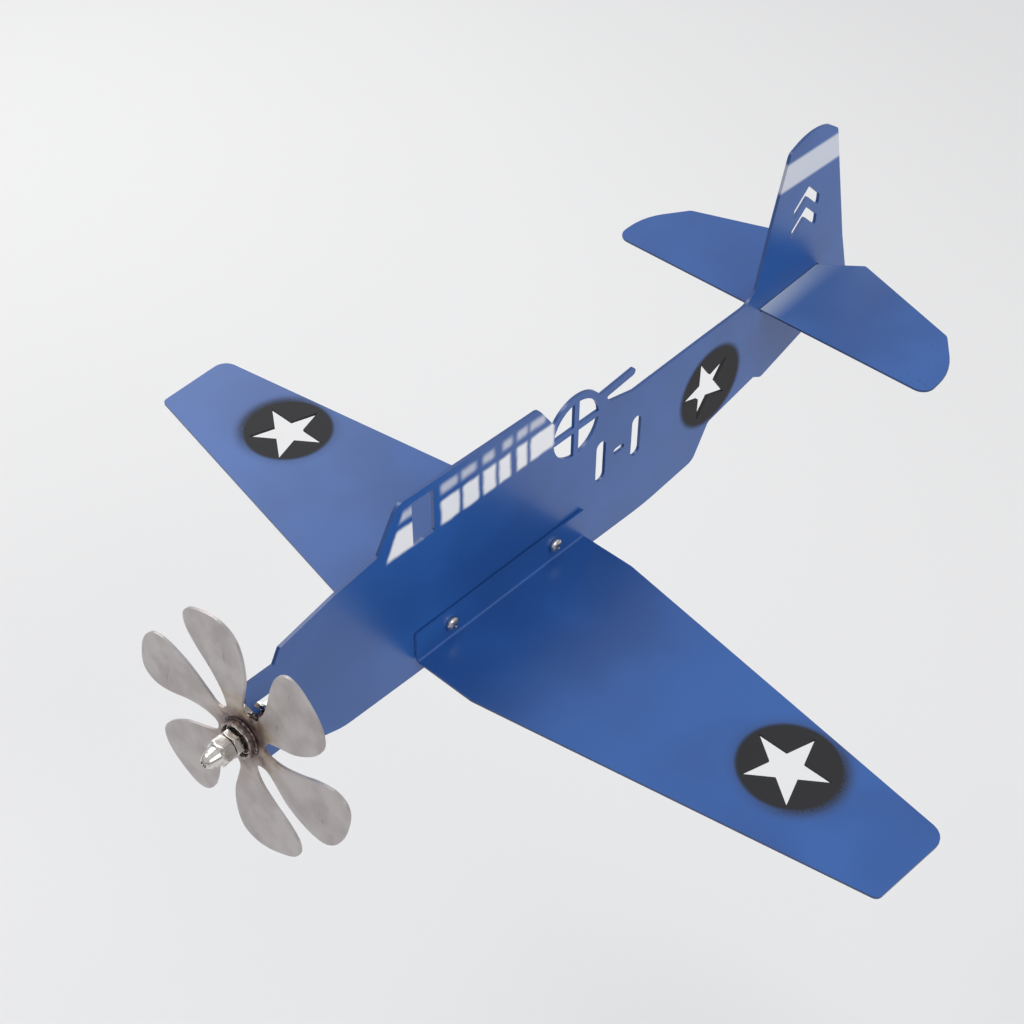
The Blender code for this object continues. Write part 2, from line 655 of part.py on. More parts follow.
# ---- swivel: a tube welded astride the belly, turning on the mast spindle ------------------------------
TUBE_LOW = 16.0
TUBE_TOP = WING_TOP_HEIGHT - WING_THICK - 1.6
TUBE_SADDLE_DEPTH = 30.0
BELLY_HEIGHT = WING_TOP_HEIGHT - 10.1       # lower edge of the sheet above the swivel
BUSH_BORE = SPINDLE_RADIUS + GAP
BUSH_RADIUS = TUBE_BORE - GAP
BUSH_LENGTH = 8.0
COLLAR_HEIGHT = 1.3
PLUG_LENGTH = 5.0
PIVOT_BALL_RADIUS = 3.0
GRUB_HEIGHT = 29.0
GRUB_RADIUS = 2.0                           # M4
GRUB_POINT_RADIUS = 1.2
GRUB_POINT_REACH = 3.4                      # from the swivel axis to the point
GRUB_SHOULDER_REACH = 4.7
GRUB_END_REACH = 7.4
GRUB_CHAMFER = 0.4
GRUB_SOCKET_FLATS = 2.0
GRUB_SOCKET_DEPTH = 1.2
GROOVE_RADIUS = 3.0
GROOVE_HALF = 2.2
SHOULDER_RADIUS = 7.0
SHOULDER_HEIGHT = 2.5
M8_FLATS = 13.0
LOCK_NUT_HEIGHT = 4.0
LOCK_WASHER_THICK = 1.4
BRACKET_THICK = 3.0                         # mast plate clamped under the shoulder

plug_top = BELLY_HEIGHT - GAP * 2
plug_low = plug_top - PLUG_LENGTH
ball_height = plug_low - GAP - PIVOT_BALL_RADIUS
cup_radius = PIVOT_BALL_RADIUS + GAP
spindle_top = ball_height - cup_radius * 0.55
collar_low = TUBE_LOW - GAP - COLLAR_HEIGHT
shoulder_top = collar_low - GAP
shoulder_low = shoulder_top - SHOULDER_HEIGHT

pivot_tube = finish(ring("pivot_tube", TUBE_BORE, TUBE_RADIUS, TUBE_LOW, TUBE_TOP, 40), bare_steel, swivel)
saddle = plate("pivot_tube_saddle", [oblong(TUBE_RADIUS + 3, FUSELAGE_THICK / 2 + GAP)], TUBE_SADDLE_DEPTH)
place(saddle, shift(0, 0, BELLY_HEIGHT - GAP + TUBE_SADDLE_DEPTH / 2))
combine(pivot_tube, saddle, "DIFFERENCE")
tapping = plate("pivot_tube_tapping", [circle(0, 0, GRUB_RADIUS + GAP)], 8)
combine(pivot_tube, place(tapping, shift(0, -8, GRUB_HEIGHT) @ stand_up), "DIFFERENCE")

thrust_plug = turned("thrust_plug", [(0, plug_top), (BUSH_RADIUS, plug_top), (BUSH_RADIUS, plug_low),
                                     (0, plug_low)])
finish(thrust_plug, bright_steel, swivel)
finish(ball("pivot_ball", PIVOT_BALL_RADIUS, 0, 0, ball_height, 24), bright_steel, swivel)

upper_low = GRUB_HEIGHT + 4.0
finish(ring("upper_bush", BUSH_BORE, BUSH_RADIUS, upper_low, upper_low + BUSH_LENGTH), brass, swivel)
lower_bush = turned("lower_bush", [
    (BUSH_RADIUS, TUBE_LOW + BUSH_LENGTH), (BUSH_RADIUS, TUBE_LOW - GAP), (TUBE_RADIUS, TUBE_LOW - GAP),
    (TUBE_RADIUS, collar_low), (BUSH_BORE, collar_low), (BUSH_BORE, TUBE_LOW + BUSH_LENGTH)])
finish(lower_bush, brass, swivel)

grub_screw = turned("grub_screw", [
    (0, GRUB_END_REACH), (GRUB_RADIUS - GRUB_CHAMFER, GRUB_END_REACH),
    (GRUB_RADIUS, GRUB_END_REACH - GRUB_CHAMFER), (GRUB_RADIUS, GRUB_SHOULDER_REACH),
    (GRUB_POINT_RADIUS, GRUB_SHOULDER_REACH), (GRUB_POINT_RADIUS, GRUB_POINT_REACH),
    (0, GRUB_POINT_REACH)], 20)
finish(grub_screw, dark_steel, axes("grub_screw_axis", shifted(0, 0, GRUB_HEIGHT) @ stand_up))
socket = hexagon("grub_screw_socket", GRUB_SOCKET_FLATS, -GRUB_SOCKET_DEPTH, GRUB_SOCKET_DEPTH)
combine(grub_screw, place(socket, shift(0, 0, GRUB_END_REACH)), "DIFFERENCE")

cup = [(cup_radius * math.cos(math.radians(angle)), ball_height + cup_radius * math.sin(math.radians(angle)))
       for angle in (-90, -78, -66, -55, -45, -33.4)]
spindle = turned("pivot_spindle", cup + [
    (SPINDLE_RADIUS - 0.4, spindle_top), (SPINDLE_RADIUS, spindle_top - 0.4),
    (SPINDLE_RADIUS, GRUB_HEIGHT + GROOVE_HALF), (GROOVE_RADIUS, GRUB_HEIGHT + GROOVE_HALF),
    (GROOVE_RADIUS, GRUB_HEIGHT - GROOVE_HALF), (SPINDLE_RADIUS, GRUB_HEIGHT - GROOVE_HALF),
    (SPINDLE_RADIUS, shoulder_top), (SHOULDER_RADIUS, shoulder_top), (SHOULDER_RADIUS, shoulder_low),
    (SPINDLE_RADIUS, shoulder_low), (SPINDLE_RADIUS, 0.6), (SPINDLE_RADIUS - 0.6, 0), (0, 0)], 40)
finish(spindle, bright_steel, swivel)

lock_washer_top = shoulder_low - BRACKET_THICK - GAP
lock_nut_top = lock_washer_top - LOCK_WASHER_THICK - GAP
finish(ring("mast_washer", BUSH_BORE, SHOULDER_RADIUS, lock_washer_top - LOCK_WASHER_THICK, lock_washer_top),
       bright_steel, swivel)
nut("mast_lock_nut", M8_FLATS, BUSH_BORE, lock_nut_top - LOCK_NUT_HEIGHT, lock_nut_top, bright_steel, swivel)
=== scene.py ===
"""Looks of a sheet-metal aeroplane whirligig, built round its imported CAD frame.

The sections follow the object as it is put together: painted sheets, their
screws, the axle with its bearing and propeller, then the swivel below.
"""
import json
import math

import bpy
from mathutils import Matrix, Vector


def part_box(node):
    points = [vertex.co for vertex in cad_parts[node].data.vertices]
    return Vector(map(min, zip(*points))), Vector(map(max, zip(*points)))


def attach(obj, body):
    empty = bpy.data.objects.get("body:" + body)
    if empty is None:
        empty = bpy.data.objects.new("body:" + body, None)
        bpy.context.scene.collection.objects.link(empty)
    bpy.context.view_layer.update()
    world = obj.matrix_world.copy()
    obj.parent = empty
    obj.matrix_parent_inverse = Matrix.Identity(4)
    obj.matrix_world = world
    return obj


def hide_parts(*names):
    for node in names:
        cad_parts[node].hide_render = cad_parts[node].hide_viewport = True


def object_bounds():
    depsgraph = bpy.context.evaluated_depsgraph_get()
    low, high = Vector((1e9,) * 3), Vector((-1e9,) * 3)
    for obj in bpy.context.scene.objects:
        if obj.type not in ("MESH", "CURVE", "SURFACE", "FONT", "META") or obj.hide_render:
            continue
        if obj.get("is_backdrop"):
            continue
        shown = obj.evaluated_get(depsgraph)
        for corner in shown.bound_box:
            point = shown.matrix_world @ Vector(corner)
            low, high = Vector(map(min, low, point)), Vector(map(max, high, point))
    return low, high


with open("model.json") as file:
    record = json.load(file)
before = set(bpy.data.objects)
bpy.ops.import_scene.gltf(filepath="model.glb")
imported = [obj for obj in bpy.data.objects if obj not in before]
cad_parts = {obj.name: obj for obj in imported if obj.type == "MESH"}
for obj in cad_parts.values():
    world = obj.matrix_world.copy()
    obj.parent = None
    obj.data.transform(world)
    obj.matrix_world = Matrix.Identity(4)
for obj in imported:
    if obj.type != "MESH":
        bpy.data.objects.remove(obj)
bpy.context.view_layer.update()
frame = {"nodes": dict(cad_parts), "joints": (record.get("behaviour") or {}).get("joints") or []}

# ---- fuselage ------------------------------------------------------------------
# One flat profile of 1.5 mm sheet iron, laser cut and deburred, sprayed blue and
# then marked through stencils: soft white cabin panes, a fin band, a black disc.
MM = 0.001
CUT_EDGE = 0.28 * MM           # rounding that deburring and paint leave on a cut edge
SAME_POINT = 0.005 * MM        # corners closer than this are one corner
SOFT = {"interpolation_type": "SMOOTHSTEP"}     # a map range that starts and ends gently


def alone(piece):
    """Select one piece only and make it the active one."""
    bpy.ops.object.select_all(action="DESELECT")
    piece.select_set(True)
    bpy.context.view_layer.objects.active = piece


def modify(piece, kind, **settings):
    """Add a modifier with its settings and apply it."""
    alone(piece)
    modifier = piece.modifiers.new(kind.lower(), kind)
    for key, value in settings.items():
        setattr(modifier, key, value)
    bpy.ops.object.modifier_apply(modifier=modifier.name)
    return piece


def rounded(piece, width, sharper_than=35):
    """Round the edges that are sharper than an angle in degrees."""
    return modify(piece, "BEVEL", width=width, segments=2, limit_method="ANGLE",
                  angle_limit=math.radians(sharper_than), harden_normals=False)


def copied(node, name):
    """A new piece with a copy of a CAD node's mesh."""
    piece = bpy.data.objects.new(name, frame["nodes"][node].data.copy())
    bpy.context.scene.collection.objects.link(piece)
    return piece


def merged(piece, flat_within):
    """Merge a copy's loose triangles into faces that are flat within an angle in degrees."""
    alone(piece)
    bpy.ops.mesh.customdata_custom_splitnormals_clear()
    bpy.ops.object.mode_set(mode="EDIT")
    bpy.ops.mesh.select_all(action="SELECT")
    bpy.ops.mesh.remove_doubles(threshold=SAME_POINT)
    bpy.ops.mesh.dissolve_limited(angle_limit=math.radians(flat_within))
    bpy.ops.object.mode_set(mode="OBJECT")
    return piece


def rounded_copy(node, name, width, sharper_than=35):
    """A copy of a CAD node with plain faces and rounded edges."""
    return rounded(merged(copied(node, name), 0.4), width, sharper_than)


def hand_over(piece, material, body, slot, *nodes):
    """Give a finished piece its material and its body, and hide the CAD nodes it stands for.  The slot is
    not used.
    """
    piece.data.materials.clear()
    piece.data.materials.append(material)
    alone(piece)
    bpy.ops.object.shade_smooth_by_angle(angle=math.radians(32))
    modify(piece, "WEIGHTED_NORMAL", keep_sharp=True, weight=100)
    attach(piece, body)
    if nodes:
        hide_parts(*nodes)
    return piece


def linear(code):
    """An sRGB hex colour as linear red, green, blue and alpha."""
    parts = [int(code[place:place + 2], 16) / 255 for place in (1, 3, 5)]
    return [p / 12.92 if p <= 0.04045 else ((p + 0.055) / 1.055) ** 2.4 for p in parts] + [1.0]


def add(tree, kind, inputs=(), **settings):
    """Add a shader node with its settings.  Its inputs come in order or by name, each a value
    to set, or a socket to link from, or a node, which stands for its first output."""
    node = tree.nodes.new("ShaderNode" + kind)
    for key, value in settings.items():
        setattr(node, key, value)
    for key, value in inputs.items() if isinstance(inputs, dict) else enumerate(inputs):
        source = value.outputs[0] if isinstance(value, bpy.types.Node) else value
        if isinstance(source, bpy.types.NodeSocket):
            tree.links.new(source, node.inputs[key])
        else:
            node.inputs[key].default_value = source
    return node


def new_material(name, roughness, metallic):
    """A Principled material, with its node tree, its shader and its place in millimetres."""
    material = bpy.data.materials.new(name)
    material.use_nodes = True
    tree = material.node_tree
    shader = tree.nodes["Principled BSDF"]
    shader.inputs["Roughness"].default_value = roughness
    shader.inputs["Metallic"].default_value = metallic
    metres = add(tree, "TexCoord").outputs["Object"]
    return material, tree, shader, add(tree, "VectorMath", {0: metres, "Scale": 1 / MM}, operation="SCALE")


def blue_enamel(name):
    """Semi-gloss blue rust-proof enamel, sprayed: a faint orange peel about 1.4 mm across,
    slow drifts of film thickness about 60 mm long, and a fine dry-spray grain.  It gives
    a deep blue that turns paler where it mirrors something bright at a low angle."""
    material, tree, shader, place = new_material(name, 0.3, 0.0)
    shader.inputs["IOR"].default_value = 1.58
    drift = add(tree, "TexNoise", {"Vector": place, "Scale": 1 / 60, "Detail": 2.0})
    grain = add(tree, "TexNoise", {"Vector": place, "Scale": 1 / 0.5, "Detail": 2.0})
    peel = add(tree, "TexNoise", {"Vector": place, "Scale": 1 / 1.4, "Detail": 1.0})
    thickness = add(tree, "MapRange", [drift, 0.35, 0.65], **SOFT)
    film = add(tree, "MixRGB", [thickness, linear("#204F93"), linear("#275AA2")])
    dry_spray = add(tree, "MapRange", [grain, 0.52, 0.8, 0.0, 0.12], **SOFT)
    film = add(tree, "MixRGB", [dry_spray, film, linear("#3567A8")])
    bump = add(tree, "Bump", {"Strength": 0.2, "Distance": 0.02 * MM, "Height": peel})
    tree.links.new(bump.outputs[0], shader.inputs["Normal"])
    gloss = add(tree, "MapRange", [grain, 0.3, 0.7, 0.29, 0.325], **SOFT)
    return material, tree, shader, place, film, gloss


def shade_cut_edges(tree, film, side, strength):
    """Darken the film on the cut edges as painted shade: the faces not square to one side.
    The normal is the piece's own, so the painted shade stays as it is when the piece turns."""
    normal = add(tree, "TexCoord").outputs["Normal"]
    towards = add(tree, "SeparateXYZ", [normal]).outputs[side]
    square = add(tree, "Math", [towards], operation="ABSOLUTE")
    edge = add(tree, "MapRange", [square, 0.45, 0.85, 1.0, 0.0], **SOFT)
    edge_shade = add(tree, "Math", [edge, strength], operation="MULTIPLY")
    return add(tree, "MixRGB", [edge_shade, film, linear("#142A55")])


def matt_black(tree, shader, film, gloss, mask):
    """Matt black sprayed over the enamel through a mask: nearly black, with no clear shine."""
    film = add(tree, "MixRGB", [mask, film, linear("#131215")])
    tree.links.new(film.outputs[0], shader.inputs["Base Color"])
    dull = add(tree, "Math", [mask, 0.45], operation="MULTIPLY")
    dull = add(tree, "Math", [gloss, dull], operation="ADD")
    tree.links.new(dull.outputs[0], shader.inputs["Roughness"])


def disc(tree, place, centre, squash, radius, fade):
    """A sprayed disc about a centre in millimetres, seen along the axis that squash leaves
    out: how far from the centre a point is, and the disc's mask."""
    flat = add(tree, "VectorMath", [place, squash], operation="MULTIPLY")
    away = add(tree, "VectorMath", [flat, centre], operation="DISTANCE").outputs["Value"]
    return away, add(tree, "MapRange", [away, radius - fade, radius + fade, 1.0, 0.0], **SOFT)


def band(tree, value, start, end, fade):
    """A strip between two stations with soft sides."""
    rising = add(tree, "MapRange", [value, start - fade, start + fade], **SOFT)
    falling = add(tree, "MapRange", [value, end - fade, end + fade, 1.0, 0.0], **SOFT)
    return add(tree, "Math", [rising, falling], operation="MULTIPLY")


LOWER_PANES = ((21.4, 31.1), (10.6, 19.2), (1.1, 8.0), (-7.2, -0.8), (-16.7, -10.9), (-32.8, -18.9))
UPPER_PANES = ((22.0, 31.0), (12.0, 20.0), (2.0, 8.0), (-8.0, -3.0), (-17.0, -11.0), (-27.0, -18.5))
LOWER_PANE_HEIGHTS = (126.6, 138.6)
UPPER_PANE_HEIGHTS = (142.2, 146.6)
LOWER_FADE = 1.2
UPPER_FADE = 1.6
STENCIL_PLAY = 0.3             # how far the stencil's edge wanders either way
FRONT_PANE_REAR = (40.0, 41.0)
WINDSCREEN_FOOT = 60.0
WINDSCREEN_SLANT = 0.46        # how far the front pane leans back per millimetre up
FIN_BAND = (177.4, 190.2)
FUSELAGE_DISC = (-137.6, 0.0, 95.0)
FUSELAGE_DISC_RADIUS = 20.9

fuselage_paint, tree, shader, place, film, gloss = blue_enamel("fuselage_blue_enamel")
split = add(tree, "SeparateXYZ", [place])
along, up = split.outputs["X"], split.outputs["Z"]
wobble = add(tree, "TexNoise", {"Vector": place, "Scale": 1 / 6, "Detail": 1.0})
wander = add(tree, "MapRange", [wobble, 0.2, 0.8, -STENCIL_PLAY, STENCIL_PLAY], **SOFT)
station = add(tree, "Math", [along, wander], operation="ADD")
height = add(tree, "Math", [up, wander], operation="ADD")

lean = add(tree, "Math", [up, WINDSCREEN_SLANT], operation="MULTIPLY")
slanted = add(tree, "Math", [station, lean], operation="ADD")
windscreen = WINDSCREEN_FOOT + WINDSCREEN_SLANT * LOWER_PANE_HEIGHTS[0]
pane_rear = add(tree, "MapRange", [along, *FRONT_PANE_REAR], **SOFT)
pane_front = add(tree, "MapRange", [slanted, windscreen - LOWER_FADE, windscreen + LOWER_FADE, 1.0, 0.0],
                 **SOFT)
front_pane = add(tree, "Math", [pane_rear, pane_front], operation="MULTIPLY")
for panes, heights, fade, strength in ((LOWER_PANES, LOWER_PANE_HEIGHTS, LOWER_FADE, 0.97),
                                       (UPPER_PANES, UPPER_PANE_HEIGHTS, UPPER_FADE, 0.55)):
    row = front_pane
    for rear, front in panes:
        row = add(tree, "Math", [row, band(tree, station, rear, front, fade)], operation="MAXIMUM")
    for share in (band(tree, height, *heights, fade), strength):
        row = add(tree, "Math", [row, share], operation="MULTIPLY")
    film = add(tree, "MixRGB", [row, film, linear("#FCFCFC")])

fin_stripe = add(tree, "Math", [band(tree, up, *FIN_BAND, 1.1), 0.84], operation="MULTIPLY")
film = add(tree, "MixRGB", [fin_stripe, film, linear("#E0E3EC")])
# Painted shade darkens the sheet's cut edges.
film = shade_cut_edges(tree, film, "Y", 0.45)
black_disc = disc(tree, place, FUSELAGE_DISC, (1.0, 0.0, 1.0), FUSELAGE_DISC_RADIUS, 1.9)[1]
matt_black(tree, shader, film, gloss, black_disc)

fuselage = rounded_copy("fuselage_sheet", "fuselage_profile", CUT_EDGE)
hand_over(fuselage, fuselage_paint, "airframe", "fuselage_paint", "fuselage_sheet")

# ---- wings --------------------------------------------------------------------
# Two 1.2 mm sheet-iron plates, each with a star opening and a root flange folded up
# in a brake.  The black disc is sprayed from above, so its mist drifts outboard.
WING_DISC_OUT = 142.6
WING_DISC_STATION = -10.8
WING_DISC_RADIUS = 21.2
MIST_REACH = 7.5
FLANGE_ROOM = 5.0              # the folded root is not a cut edge


def wing_enamel(name, side):
    """The blue enamel with one black disc on the upper face.  Round the disc lies a mist of
    droplets under a millimetre across, which thins out and is heaviest outboard."""
    material, tree, shader, place, film, gloss = blue_enamel(name)
    centre = (WING_DISC_STATION, side * WING_DISC_OUT, 0.0)
    away, core = disc(tree, place, centre, (1.0, 1.0, 0.0), WING_DISC_RADIUS, 1.5)
    across = add(tree, "SeparateXYZ", [place]).outputs["Y"]
    outboard = add(tree, "Math", [across, side], operation="MULTIPLY")
    mist = add(tree, "MapRange", [away, WING_DISC_RADIUS - 1.0, WING_DISC_RADIUS + MIST_REACH, 1.0, 0.0],
               **SOFT)
    mist = add(tree, "Math", [mist, 2.0], operation="POWER")
    drift = add(tree, "MapRange", [outboard, WING_DISC_OUT - 6.0, WING_DISC_OUT + 20.0, 0.3, 1.0], **SOFT)
    drops = add(tree, "TexNoise", {"Vector": place, "Scale": 1 / 0.9, "Detail": 3.0})
    drops = add(tree, "MapRange", [drops, 0.3, 0.65, 0.72, 1.0], **SOFT)
    for share in (drift, drops):
        mist = add(tree, "Math", [mist, share], operation="MULTIPLY")
    normal = add(tree, "TexCoord").outputs["Normal"]
    facing = add(tree, "SeparateXYZ", [normal]).outputs["Z"]
    upper_side = add(tree, "MapRange", [facing, -0.6, -0.4], **SOFT)
    black = add(tree, "Math", [core, mist], operation="MAXIMUM")
    black = add(tree, "Math", [black, upper_side], operation="MULTIPLY")
    # Painted shade on the cut edges, kept off the folded root.
    cut_edges = add(tree, "MapRange", [outboard, FLANGE_ROOM, FLANGE_ROOM + 1.0, 0.0, 0.8], **SOFT)
    matt_black(tree, shader, shade_cut_edges(tree, film, "Z", cut_edges), gloss, black)
    return material


for side_name, side in (("port", 1), ("starboard", -1)):
    wing = rounded_copy(f"wing_{side_name}", f"wing_plate_{side_name}", CUT_EDGE)
    hand_over(wing, wing_enamel(f"wing_blue_enamel_{side_name}", side), "airframe", "wing_paint",
              f"wing_{side_name}")

# ---- tailplane ------------------------------------------------------------------
# Two 1.2 mm plates pushed into the fuselage slot and tacked there before painting.
# A painted sheen pales the port half near its root, a painted highlight runs along that root, and dark
# specks landed near its tip.
SHEEN_WIDTH = 46.0
ROOT_HIGHLIGHT_WIDTH = 12.5
SPECK_START = 52.0
SPECK_END = 82.0

tail_paint, tree, shader, place, film, gloss = blue_enamel("tail_blue_enamel")
split = add(tree, "SeparateXYZ", [place])
along, across = split.outputs["X"], split.outputs["Y"]
# Painted sheen: the port half turns paler, and rougher, towards its root.
port_half = add(tree, "MapRange", [across, 0.0, 0.6], **SOFT)
pale_sheen = add(tree, "MapRange", [across, 0.0, SHEEN_WIDTH, 1.0, 0.0], **SOFT)
pale_sheen = add(tree, "Math", [pale_sheen, port_half], operation="MULTIPLY")
pale = add(tree, "Math", [pale_sheen, 0.55], operation="MULTIPLY")
film = add(tree, "MixRGB", [pale, film, linear("#5F83C0")])

# Painted highlight: a pale strip along the port root, brightest towards the front.
tail_low, tail_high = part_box("tailplane_port")
forward_part = add(tree, "MapRange", [along, tail_low.x / MM, tail_high.x / MM, 0.35, 1.0], **SOFT)
root_highlight = add(tree, "MapRange", [across, 0.5, ROOT_HIGHLIGHT_WIDTH, 1.0, 0.0], **SOFT)
for share in (port_half, forward_part, 0.9):
    root_highlight = add(tree, "Math", [root_highlight, share], operation="MULTIPLY")
film = add(tree, "MixRGB", [root_highlight, film, linear("#BAC6DC")])

specks = add(tree, "TexNoise", {"Vector": place, "Scale": 1 / 0.8, "Detail": 2.0})
specks = add(tree, "MapRange", [specks, 0.62, 0.7], **SOFT)
for share in (add(tree, "MapRange", [across, SPECK_START, SPECK_END], **SOFT), 0.75):
    specks = add(tree, "Math", [specks, share], operation="MULTIPLY")
film = add(tree, "MixRGB", [specks, film, linear("#16305F")])
# Painted shade darkens the plates' cut edges.
film = shade_cut_edges(tree, film, "Z", 0.8)
tree.links.new(film.outputs[0], shader.inputs["Base Color"])
dull = add(tree, "Math", [pale_sheen, 0.36], operation="MULTIPLY")
dull = add(tree, "Math", [gloss, dull], operation="ADD")
tree.links.new(dull.outputs[0], shader.inputs["Roughness"])

for side_name in ("port", "starboard"):
    half = rounded_copy(f"tailplane_{side_name}", f"tail_plate_{side_name}", CUT_EDGE)
    hand_over(half, tail_paint, "airframe", "wing_paint", f"tailplane_{side_name}")

# ---- wing screws ------------------------------------------------------------------
# Two M3 pan-head screws with cross recesses, of nickel-plated steel, each with a
# washer and a nut on the starboard side.  They clamp both flanges to the fuselage.
CHAMFER_SLOPE = math.tan(math.radians(30))
HALF_FLATS = math.cos(math.radians(30))          # of a hexagon, for each unit to its corners


def patchy_metal(name, metallic, patch, detail, shades, blend, shine):
    """A metal in two shades that meet in soft patches of a size in millimetres.  Blend is
    where one shade turns to the other, and shine is how the roughness goes with them."""
    material, tree, shader, place = new_material(name, shine[-1], metallic)
    patches = add(tree, "TexNoise", {"Vector": place, "Scale": 1 / patch, "Detail": detail})
    second = add(tree, "MapRange", [patches, *blend], **SOFT)
    colour = add(tree, "MixRGB", [second, linear(shades[0]), linear(shades[1])])
    roughness = add(tree, "MapRange", [patches, *shine], **SOFT)
    tree.links.new(colour.outputs[0], shader.inputs["Base Color"])
    tree.links.new(roughness.outputs[0], shader.inputs["Roughness"])
    return material, tree, shader, place, patches, colour


def plated(name):
    """Nickel-plated steel, barrel plated: smooth, slightly warm, with faint handling
    marks about 2 mm long, so that it mirrors light and dark with crisp borders."""
    return patchy_metal(name, 1.0, 2.0, 4.0, ("#DAD6D2", "#C3BBB4"), (0.4, 0.7), (0.35, 0.75, 0.1, 0.22))


def turned(name, profile, steps=72):
    """A piece turned about the z axis from a closed profile of (radius, height) in metres."""
    bpy.ops.object.select_all(action="DESELECT")
    bpy.ops.mesh.primitive_circle_add(vertices=len(profile))
    piece = bpy.context.active_object
    piece.name = name
    for vertex, (radius, height) in zip(piece.data.vertices, profile):
        vertex.co = (radius, 0, height)
    bpy.ops.object.mode_set(mode="EDIT")
    bpy.ops.mesh.select_all(action="SELECT")
    bpy.ops.mesh.spin(steps=steps, angle=math.tau, center=(0, 0, 0), axis=(0, 0, 1))
    bpy.ops.mesh.select_all(action="SELECT")
    bpy.ops.mesh.remove_doubles(threshold=0.001 * MM)
    bpy.ops.mesh.delete_loose()
    bpy.ops.mesh.normals_make_consistent(inside=False)
    bpy.ops.object.mode_set(mode="OBJECT")
    return piece


def reach(node, axis):
    """Where a CAD node lies on an axis: its low end, high end, least and greatest radius."""
    back = axis.inverted()
    points = [back @ vertex.co for vertex in frame["nodes"][node].data.vertices]
    heights = [point.z for point in points]
    radii = [math.hypot(point.x, point.y) for point in points]
    return min(heights), max(heights), min(radii), max(radii)


def six_sided(piece, seat, corner):
    """Cut a turned blank to a hexagon, so that its chamfers rise to arcs on each flat."""
    middle = sum(vertex.co.z for vertex in piece.data.vertices) / len(piece.data.vertices)
    for vertex in piece.data.vertices:
        x, y, z = vertex.co
        if math.hypot(x, y) <= seat + 0.001 * MM:
            continue
        angle = math.atan2(y, x)
        flat = corner * HALF_FLATS / math.cos(angle % math.radians(60) - math.radians(30))
        rise = (corner - flat) * CHAMFER_SLOPE
        vertex.co = (flat * math.cos(angle), flat * math.sin(angle), z + (rise if z > middle else -rise))
    return piece


def hexagon_nut(name, node, axis):
    """A chamfered hexagon nut with a countersunk bore, where a CAD nut is."""
    low, high, bore, corner = reach(node, axis)
    seat = 0.95 * HALF_FLATS * corner
    drop = (corner - seat) * CHAMFER_SLOPE
    sink = bore * 0.12
    profile = [(bore, low + sink), (bore + sink, low), (seat, low), (corner, low + drop),
               (corner, high - drop), (seat, high), (bore + sink, high), (bore, high - sink)]
    blank = rounded(six_sided(turned(name, profile), seat, corner), 0.02 * corner)
    blank.data.transform(axis)
    return blank


def flat_ring(name, node, axis, edge):
    """A plain ring with rounded edges, where a CAD ring is."""
    low, high, bore, rim = reach(node, axis)
    piece = rounded(turned(name, [(bore, low), (rim, low), (rim, high), (bore, high)]), edge)
    piece.data.transform(axis)
    return piece


SCREW_RADIUS = 1.5 * MM
SCREW_PITCH = 0.5 * MM
SCREW_TIP = 0.35 * MM          # chamfer at the screw's end
HEAD_HEIGHT = 2.3 * MM
HEAD_RIM = 0.8 * MM
RECESS_ARM = 1.75 * MM
RECESS_WIDTH = 0.34 * MM
RECESS_DEPTH = 1.3 * MM
RECESS_FLOOR = 0.45            # size of the recess at its bottom, as a share of its mouth

nickel = plated("nickel_plated_steel")[0]
for end in ("front", "rear"):
    low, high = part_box(f"wing_screw_{end}")
    screw_axis = Matrix.Translation(((low.x + high.x) / 2, 0, (low.z + high.z) / 2)) \
        @ Matrix.Rotation(-math.pi / 2, 4, "X")
    tip, top, _, head_radius = reach(f"wing_screw_{end}", screw_axis)
    seat = top - HEAD_HEIGHT
    dome = [(head_radius * math.cos(math.radians(angle)),
             seat + HEAD_RIM + (HEAD_HEIGHT - HEAD_RIM) * math.sin(math.radians(angle)))
            for angle in range(80, -1, -10)]
    thread = []
    crest = seat
    while crest - SCREW_PITCH > tip + SCREW_PITCH:
        thread += [(SCREW_RADIUS, crest - 0.1 * SCREW_PITCH),
                   (SCREW_RADIUS - 0.5 * SCREW_PITCH, crest - 0.5 * SCREW_PITCH)]
        crest -= SCREW_PITCH
    screw = turned(f"flange_screw_{end}", [(0, top)] + dome + [(head_radius, seat)] + thread + [
        (SCREW_RADIUS, tip + SCREW_TIP), (SCREW_RADIUS - SCREW_TIP, tip), (0, tip)], 48)
    for turn in (25, 115):
        alone(screw)
        bpy.ops.mesh.primitive_cube_add(size=1, location=(0, 0, 0))
        arm = bpy.context.active_object
        for vertex in arm.data.vertices:
            x, y, z = vertex.co * 2
            taper = 1.0 if z > 0 else RECESS_FLOOR
            vertex.co = (x * RECESS_ARM * taper, y * RECESS_WIDTH * taper, z * RECESS_DEPTH)
        arm.data.transform(Matrix.Translation((0, 0, top)) @ Matrix.Rotation(math.radians(turn), 4, "Z"))
        modify(screw, "BOOLEAN", operation="DIFFERENCE", solver="EXACT", object=arm)
        bpy.data.objects.remove(arm, do_unlink=True)
    screw.data.transform(screw_axis)
    hand_over(screw, nickel, "airframe", "bright_steel", f"wing_screw_{end}")
    washer = flat_ring(f"flange_washer_{end}", f"wing_washer_{end}", screw_axis, 0.08 * MM)
    hand_over(washer, nickel, "airframe", "bright_steel", f"wing_washer_{end}")
    back_nut = hexagon_nut(f"flange_nut_{end}", f"wing_nut_{end}", screw_axis)
    hand_over(back_nut, nickel, "airframe", "bright_steel", f"wing_nut_{end}")

